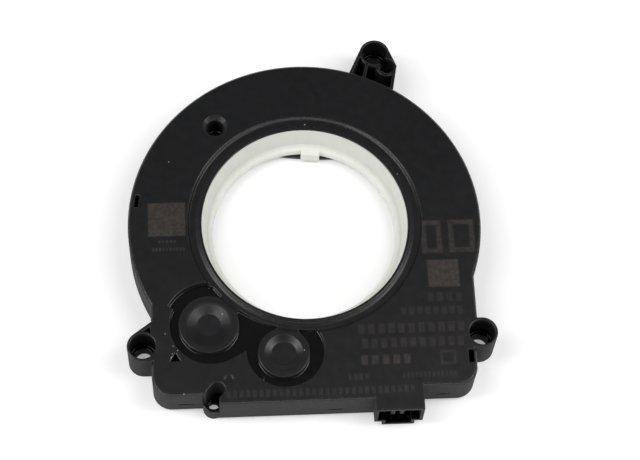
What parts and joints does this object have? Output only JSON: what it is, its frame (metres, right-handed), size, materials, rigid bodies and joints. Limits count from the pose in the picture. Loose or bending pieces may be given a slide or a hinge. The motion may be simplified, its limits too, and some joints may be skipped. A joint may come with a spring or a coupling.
{
  "type": "steering angle sensor",
  "caption": "Flat steering angle sensor: black moulded housing with screw lugs, a connector socket and gear domes round an off-white turning hub with a drive tongue.",
  "frame": {"origin": "on the axis of the hub, in the rear seating plane of the cover and the lugs", "axes": "+Z along the hub's axis, out of the front face with the domes; +Y towards the top lug; the connector opens towards -Y"},
  "size_m": [0.0925, 0.1035, 0.0115],
  "materials": {
    "black_housing": "fine matte moulded",
    "black_cover": "fine matte moulded",
    "natural_hub": "smooth satin moulded, slightly translucent",
    "natural_gear": "smooth satin moulded",
    "magnet": "ground, dark grey",
    "board": "solder mask, satin",
    "chip_body": "moulded, matte",
    "can_metal": "drawn, satin",
    "tantalum_body": "moulded, matte",
    "choke_body": "sintered, matte",
    "capacitor_body": "sintered, satin",
    "resistor_body": "coated, satin",
    "pin_metal": "tin plated, satin"
  },
  "bodies": {
    "case": {"front_housing": "black_housing", "rear_cover": "black_cover", "gear_carrier_plate": "black_cover", "circuit_board": "board", "large_gear_sensor_chip": "chip_body", "small_gear_sensor_chip": "chip_body", "microcontroller": "chip_body", "can_transceiver": "chip_body", "voltage_regulator": "chip_body", "crystal": "can_metal", "tantalum_capacitor": "tantalum_body", "suppressor_diode": "chip_body", "common_mode_choke": "choke_body", "ceramic_capacitors": "capacitor_body", "chip_resistors": "resistor_body", "connector_pin_1": "pin_metal", "connector_pin_2": "pin_metal", "connector_pin_3": "pin_metal", "connector_pin_4": "pin_metal"},
    "hub": {"hub_gear": "natural_hub"},
    "large_gear": {"large_measuring_gear": "natural_gear", "large_gear_magnet": "magnet"},
    "small_gear": {"small_measuring_gear": "natural_gear", "small_gear_magnet": "magnet"}
  },
  "joints": [
    {"name": "hub_turn", "type": "hinge", "parent": "case", "child": "hub", "pos_m": [0, 0, 0], "axis": [0, 0, 1], "continuous": true},
    {"name": "large_gear_turn", "type": "hinge", "parent": "case", "child": "large_gear", "pos_m": [-0.02518, -0.02697, 0], "axis": [0, 0, 1], "continuous": true},
    {"name": "small_gear_turn", "type": "hinge", "parent": "case", "child": "small_gear", "pos_m": [-0.00681, -0.03504, 0], "axis": [0, 0, 1], "continuous": true}
  ],
  "couplings": [
    {"joint": "large_gear_turn", "follows": "hub_turn", "ratio": -4.125},
    {"joint": "small_gear_turn", "follows": "hub_turn", "ratio": -4.95}
  ]
}
